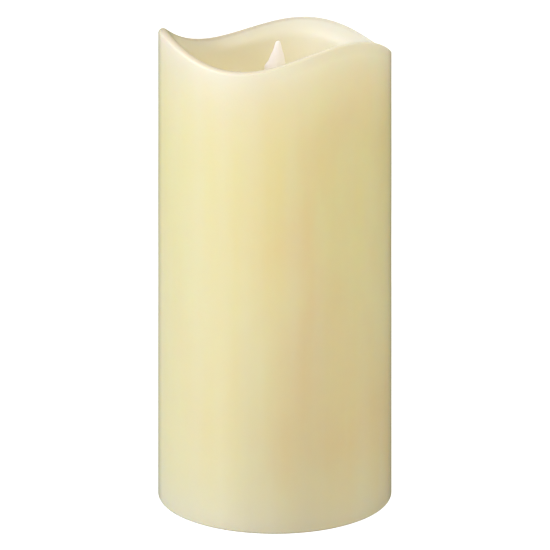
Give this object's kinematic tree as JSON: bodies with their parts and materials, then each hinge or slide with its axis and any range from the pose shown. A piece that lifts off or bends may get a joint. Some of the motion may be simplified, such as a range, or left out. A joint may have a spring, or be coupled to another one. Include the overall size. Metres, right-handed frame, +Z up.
{
  "type": "flameless led candle",
  "caption": "Flameless pillar candle: hollow ivory wax shell with a wavy rim, battery base with slide switch, and a flame leaf that sways above a coil and an LED.",
  "frame": {"origin": "centre of the face that the candle stands on, at table height", "axes": "+Z up along the candle's axis, -Y is the front that the flame's lamp lights, +X is right seen from the front"},
  "size_m": [0.076, 0.076, 0.1514],
  "materials": {
    "ivory_wax": "ivory paraffin wax, satin, slightly translucent",
    "cream_plastic": "cream moulded ABS, fine matt texture",
    "screw_steel": "zinc-plated steel",
    "cell_can": "nickel-plated can; aluminium is nearest to a cell's mean density",
    "cell_sleeve": "shrink sleeve, gloss",
    "contact_steel": "nickel-plated spring steel",
    "board_green": "green solder mask",
    "chip_black": "black epoxy",
    "capacitor_sleeve": "dark blue sleeve",
    "switch_tin": "tinned steel",
    "switch_black": "black moulded plastic",
    "wire_red": "red PVC",
    "wire_black": "black PVC",
    "wire_white": "white PVC",
    "coil_copper": null,
    "bobbin_nylon": "natural nylon",
    "led_epoxy": "warm-white LED, clear epoxy",
    "flame_plastic": "frosted translucent plastic",
    "magnet_nickel": "nickel-plated magnet"
  },
  "bodies": {
    "candle": {"wax_shell": "ivory_wax", "base_chassis": "cream_plastic", "chassis_cover": "cream_plastic", "mechanism_housing": "cream_plastic", "aperture_cap": "cream_plastic", "chassis_screws": "screw_steel", "board_screws": "screw_steel", "housing_screws": "screw_steel", "aa_cell_front": "cell_can", "aa_cell_rear": "cell_can", "aa_cell_front_sleeve": "cell_sleeve", "aa_cell_rear_sleeve": "cell_sleeve", "negative_contact": "contact_steel", "positive_contact": "contact_steel", "bridge_contact": "contact_steel", "control_board": "board_green", "timer_chip": "chip_black", "drive_transistor": "chip_black", "chip_resistors": "chip_black", "smoothing_capacitor": "capacitor_sleeve", "switch_case": "switch_tin", "battery_wire_red": "wire_red", "battery_wire_black": "wire_black", "led_wires": "wire_white", "coil_wires": "coil_copper", "drive_coil": "coil_copper", "coil_bobbin": "bobbin_nylon", "led_lens": "led_epoxy", "led_leads": "contact_steel", "pivot_wire": "contact_steel"},
    "flame": {"flame_leaf": "flame_plastic", "flame_magnet": "magnet_nickel"},
    "switch": {"switch_slider": "switch_black", "switch_knob": "switch_black"},
    "door": {"battery_door": "cream_plastic"}
  },
  "joints": [
    {"name": "flame_sway", "type": "hinge", "parent": "candle", "child": "flame", "pos_m": [0, 0, 0.1181], "axis": [0, 1, 0], "range_deg": [-12, 12]},
    {"name": "switch_slide", "type": "slide", "parent": "candle", "child": "switch", "axis": [1, 0, 0], "range_m": [-0.002, 0.002]},
    {"name": "door_tip", "type": "hinge", "parent": "candle", "child": "door", "pos_m": [0.0266, 0, 0.0032], "axis": [0, -1, 0], "range_deg": [0, 25]}
  ]
}
